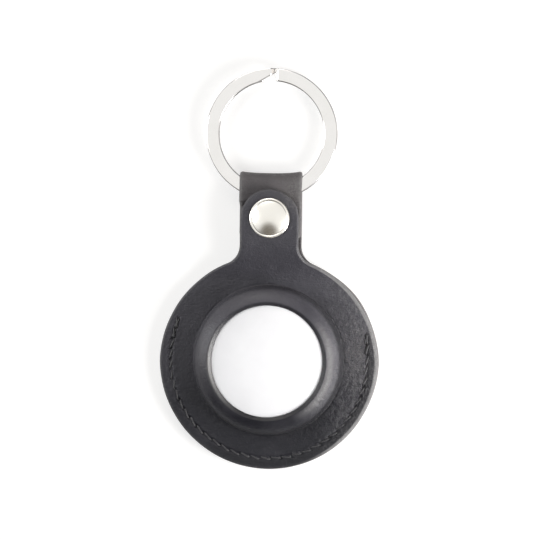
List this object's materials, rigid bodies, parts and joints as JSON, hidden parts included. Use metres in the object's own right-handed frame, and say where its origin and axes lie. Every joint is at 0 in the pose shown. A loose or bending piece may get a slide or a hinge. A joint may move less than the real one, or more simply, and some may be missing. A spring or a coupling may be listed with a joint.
{
  "type": "tracker tag holder",
  "caption": "Round moulded leather pocket that holds a coin tracker tag behind a window, with a snap tab and a looped strap on a split key ring.",
  "frame": {"origin": "middle of the pocket on its flat back face", "axes": "+Z out of the window, +Y along the neck to the key ring, +X to the right when the window faces you"},
  "size_m": [0.05, 0.0917, 0.0093],
  "materials": {
    "leather": "smooth black leather with a fine grain and dressed edges",
    "thread": "waxed black sewing thread",
    "snap_nickel": "satin nickel plate",
    "spring_steel": "bare spring wire",
    "ring_nickel": "bright nickel plate",
    "tag_white": "glossy white shell",
    "tag_plastic": "moulded white plastic",
    "board": "green circuit board",
    "copper": "bare copper",
    "magnet": "nickel-plated magnet",
    "cell_steel": "rolled steel can",
    "cover_steel": "polished steel"
  },
  "bodies": {
    "pouch": {"back_panel": "leather", "front_panel": "leather", "strap_end": "leather", "needle_thread": "thread", "bobbin_thread": "thread", "snap_stud": "snap_nickel", "snap_post": "snap_nickel"},
    "flap": {"closure_tab": "leather", "snap_cap": "snap_nickel", "snap_socket": "snap_nickel", "socket_spring": "spring_steel"},
    "loop": {"strap_loop": "leather"},
    "ring": {"split_ring": "ring_nickel"},
    "tag": {"tag_shell": "tag_white", "tag_frame": "tag_plastic", "circuit_board": "board", "speaker_coil": "copper", "speaker_magnet": "magnet", "battery_contacts": "copper", "coin_cell": "cell_steel"},
    "tag_cover": {"battery_cover": "cover_steel"}
  },
  "joints": [
    {"name": "tab_open", "type": "hinge", "parent": "pouch", "child": "flap", "pos_m": [0, 0.0178, 0.0024], "axis": [1, 0, 0], "range_deg": [0, 80]},
    {"name": "loop_bend", "type": "hinge", "parent": "pouch", "child": "loop", "pos_m": [0, 0.0361, 0.0006], "axis": [1, 0, 0], "range_deg": [-60, 5]},
    {"name": "ring_spin", "type": "hinge", "parent": "loop", "child": "ring", "pos_m": [0, 0.0517, 0.00217], "axis": [0, 0, 1], "continuous": true},
    {"name": "tag_turn", "type": "hinge", "parent": "pouch", "child": "tag", "pos_m": [0, 0, 0.005], "axis": [0, 0, 1], "continuous": true},
    {"name": "cover_twist", "type": "hinge", "parent": "tag", "child": "tag_cover", "pos_m": [0, 0, 0.0015], "axis": [0, 0, 1], "range_deg": [0, 20]}
  ]
}
